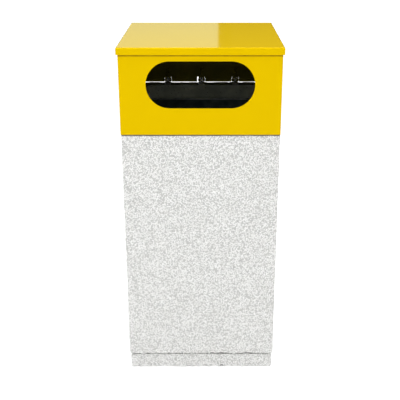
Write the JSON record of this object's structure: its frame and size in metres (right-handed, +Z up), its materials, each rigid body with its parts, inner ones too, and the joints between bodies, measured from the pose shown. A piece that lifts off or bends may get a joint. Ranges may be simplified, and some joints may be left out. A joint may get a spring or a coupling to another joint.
{
  "type": "ashtray bin",
  "caption": "Square concrete litter bin with a rear-hinged sheet-steel hood, a wide mouth in its front and a lift-out galvanised liner.",
  "frame": {"origin": "centre of the underside, on the ground", "axes": "+Z up, the mouth faces -Y, +X is to the right as seen from the mouth"},
  "size_m": [0.45, 0.45, 0.995],
  "materials": {
    "concrete": "rough exposed aggregate",
    "mortar": "rough",
    "powder_coat": "gloss yellow powder coat",
    "galvanised": "hot-dip galvanised, satin",
    "zinc_plated": "bright zinc plated",
    "rubber": "matt",
    "nylon": "matt"
  },
  "bodies": {
    "bin": {"base_plinth": "concrete", "mortar_bed": "mortar", "concrete_body": "concrete", "liner_pads": "rubber", "rest_buffers": "rubber", "anchor_plugs": "nylon", "leaf_screws": "zinc_plated", "fixed_leaf_left": "zinc_plated", "fixed_leaf_centre": "zinc_plated", "fixed_leaf_right": "zinc_plated", "hinge_pins": "zinc_plated"},
    "hood": {"hood_leaf_left": "powder_coat", "hood_leaf_centre": "powder_coat", "hood_leaf_right": "powder_coat", "leaf_rivets": "powder_coat", "hood_wrap": "powder_coat", "rear_panel": "powder_coat", "seam_rivets": "powder_coat", "lid_cap": "powder_coat", "lid_studs": "zinc_plated", "lid_washers": "zinc_plated", "lid_nuts": "zinc_plated", "rest_bracket_left": "powder_coat", "rest_bracket_right": "powder_coat"},
    "liner": {"liner_shell": "galvanised", "rim_wire": "galvanised", "liner_base": "galvanised", "lugs_left": "zinc_plated", "lugs_right": "zinc_plated", "lug_rivets": "zinc_plated"},
    "left_handle": {"handle_left": "zinc_plated"},
    "right_handle": {"handle_right": "zinc_plated"}
  },
  "joints": [
    {"name": "hood_hinge", "type": "hinge", "parent": "bin", "child": "hood", "pos_m": [0, 0.218, 0.81], "axis": [-1, 0, 0], "range_deg": [0, 165]},
    {"name": "liner_lift", "type": "slide", "parent": "bin", "child": "liner", "axis": [0, 0, 1], "range_m": [0, 0.165]},
    {"name": "left_handle_pivot", "type": "hinge", "parent": "liner", "child": "left_handle", "pos_m": [-0.1535, 0, 0.735], "axis": [0, -1, 0], "range_deg": [0, 180]},
    {"name": "right_handle_pivot", "type": "hinge", "parent": "liner", "child": "right_handle", "pos_m": [0.1535, 0, 0.735], "axis": [0, 1, 0], "range_deg": [0, 180]}
  ]
}
